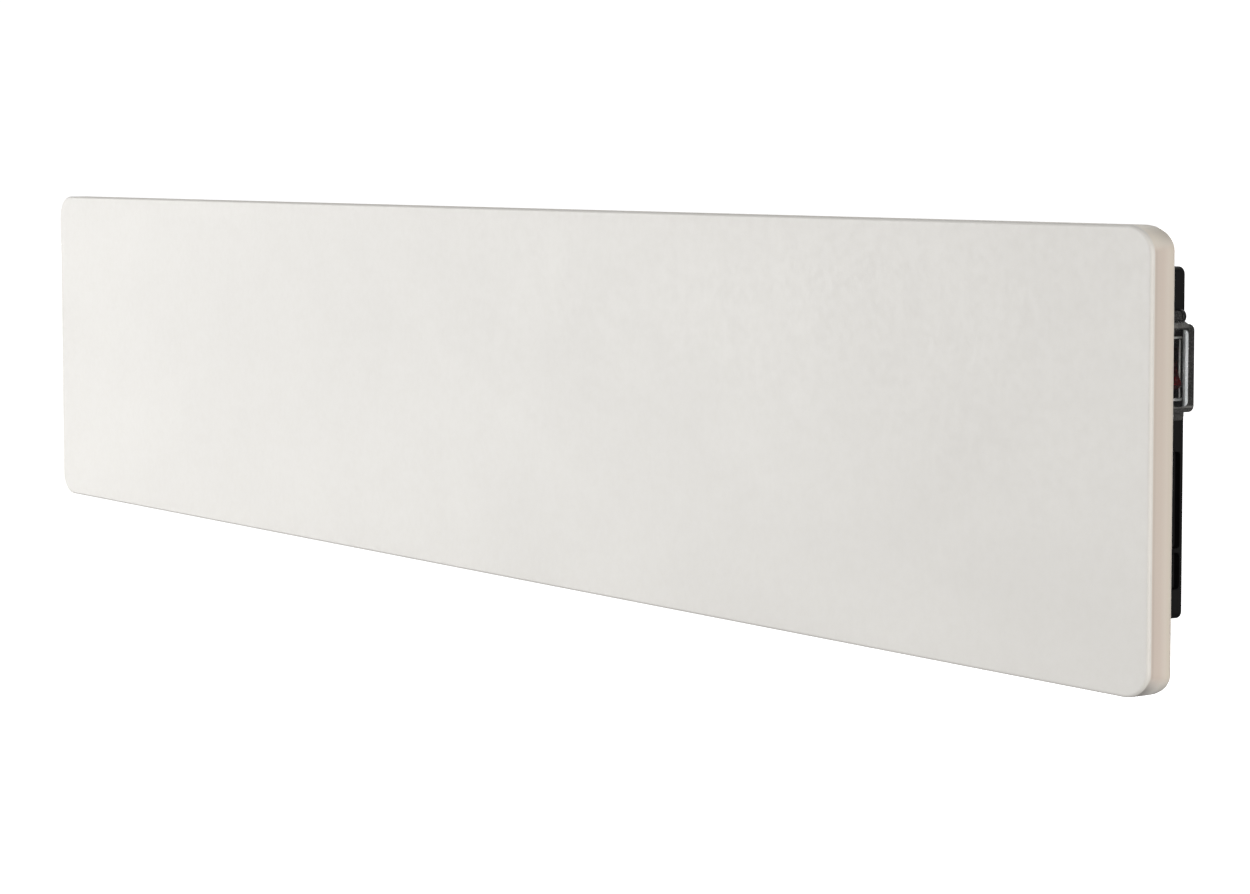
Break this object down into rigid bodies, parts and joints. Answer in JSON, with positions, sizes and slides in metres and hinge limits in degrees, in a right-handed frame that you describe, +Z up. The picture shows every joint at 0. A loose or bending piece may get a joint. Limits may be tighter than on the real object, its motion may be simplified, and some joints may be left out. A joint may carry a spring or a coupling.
{
  "type": "infrared panel heater",
  "caption": "Long wall-hung infrared panel heater: thick pale rounded slab on a black steel rear housing, rocker switch under a clear flip lid.",
  "frame": {"origin": "on the wall plane, at the middle of the wall rail's back face, level with the slab's mid height", "axes": "+X to the right seen from the front, +Y into the wall, +Z up"},
  "size_m": [1.4, 0.054, 0.25],
  "materials": {
    "slab": "satin, fine mineral face",
    "black_steel": "fine-textured matt black",
    "zinc_steel": "bright zinc",
    "screw_steel": "bright zinc",
    "dark_screw": "black zinc",
    "bright_foil": "bright",
    "etched_alloy": "dull",
    "glass_carrier": "woven glass",
    "mineral_wool": "matt",
    "circuit_board": "satin",
    "black_plastic": "satin",
    "blue_case": "satin",
    "capacitor_sleeve": "gloss",
    "white_ceramic": "matt",
    "brass": "satin",
    "brown_wire": "satin",
    "blue_wire": "satin",
    "green_wire": "satin",
    "white_wire": "silicone, satin",
    "smoke_plastic": "smoked, satin",
    "clear_plastic": "clear moulded plastic",
    "red_plastic": "gloss",
    "black_rubber": "matt"
  },
  "bodies": {
    "wall_bracket": {"wall_rail": "zinc_steel"},
    "heater": {"front_slab": "slab", "heating_mat": "glass_carrier", "heating_element": "etched_alloy", "reflector_foil": "bright_foil", "insulation_board": "mineral_wool", "rear_housing": "black_steel", "hanger_rail": "zinc_steel", "hanger_screw_1": "screw_steel", "hanger_screw_2": "screw_steel", "spacer_pad_left": "black_rubber", "spacer_pad_right": "black_rubber", "service_cover": "black_steel", "cover_screw_1": "dark_screw", "cover_screw_2": "dark_screw", "bay_divider": "zinc_steel", "control_pcb": "circuit_board", "pcb_rail_lower": "black_plastic", "pcb_rail_upper": "black_plastic", "power_relay": "blue_case", "power_module": "black_plastic", "filter_capacitor": "capacitor_sleeve", "pcb_terminal": "white_ceramic", "terminal_block": "white_ceramic", "thermal_cutout": "white_ceramic", "temperature_sensor": "screw_steel", "earth_stud": "brass", "live_wire": "brown_wire", "lamp_neutral_wire": "blue_wire", "switched_wire": "brown_wire", "neutral_wire": "blue_wire", "earth_wire": "green_wire", "heater_lead_1": "white_wire", "heater_lead_2": "white_wire", "sensor_lead": "white_wire", "cable_gland": "black_plastic", "gland_nut": "black_plastic", "switch_gasket": "black_rubber", "switch_base": "smoke_plastic", "base_screw": "screw_steel", "switch_body": "black_plastic", "switch_blade_1": "brass", "switch_blade_2": "brass", "switch_blade_3": "brass", "lid_hinge_pin": "screw_steel", "slab_post_1": "zinc_steel", "housing_screw_1": "dark_screw", "slab_post_2": "zinc_steel", "housing_screw_2": "dark_screw", "slab_post_3": "zinc_steel", "housing_screw_3": "dark_screw", "slab_post_4": "zinc_steel", "housing_screw_4": "dark_screw", "slab_post_5": "zinc_steel", "housing_screw_5": "dark_screw", "slab_post_6": "zinc_steel", "housing_screw_6": "dark_screw"},
    "rocker": {"rocker": "red_plastic"},
    "switch_lid": {"switch_lid": "clear_plastic"}
  },
  "joints": [
    {"name": "heater_lift", "type": "slide", "parent": "wall_bracket", "child": "heater", "axis": [0, 0, 1], "range_m": [0, 0.012]},
    {"name": "rocker_hinge", "type": "hinge", "parent": "heater", "child": "rocker", "pos_m": [0.6767, -0.0255, 0.0485], "axis": [0, 1, 0], "range_deg": [0, 24]},
    {"name": "lid_hinge", "type": "hinge", "parent": "heater", "child": "switch_lid", "pos_m": [0.6828, -0.0255, 0.0764], "axis": [0, -1, 0], "range_deg": [0, 110]}
  ]
}
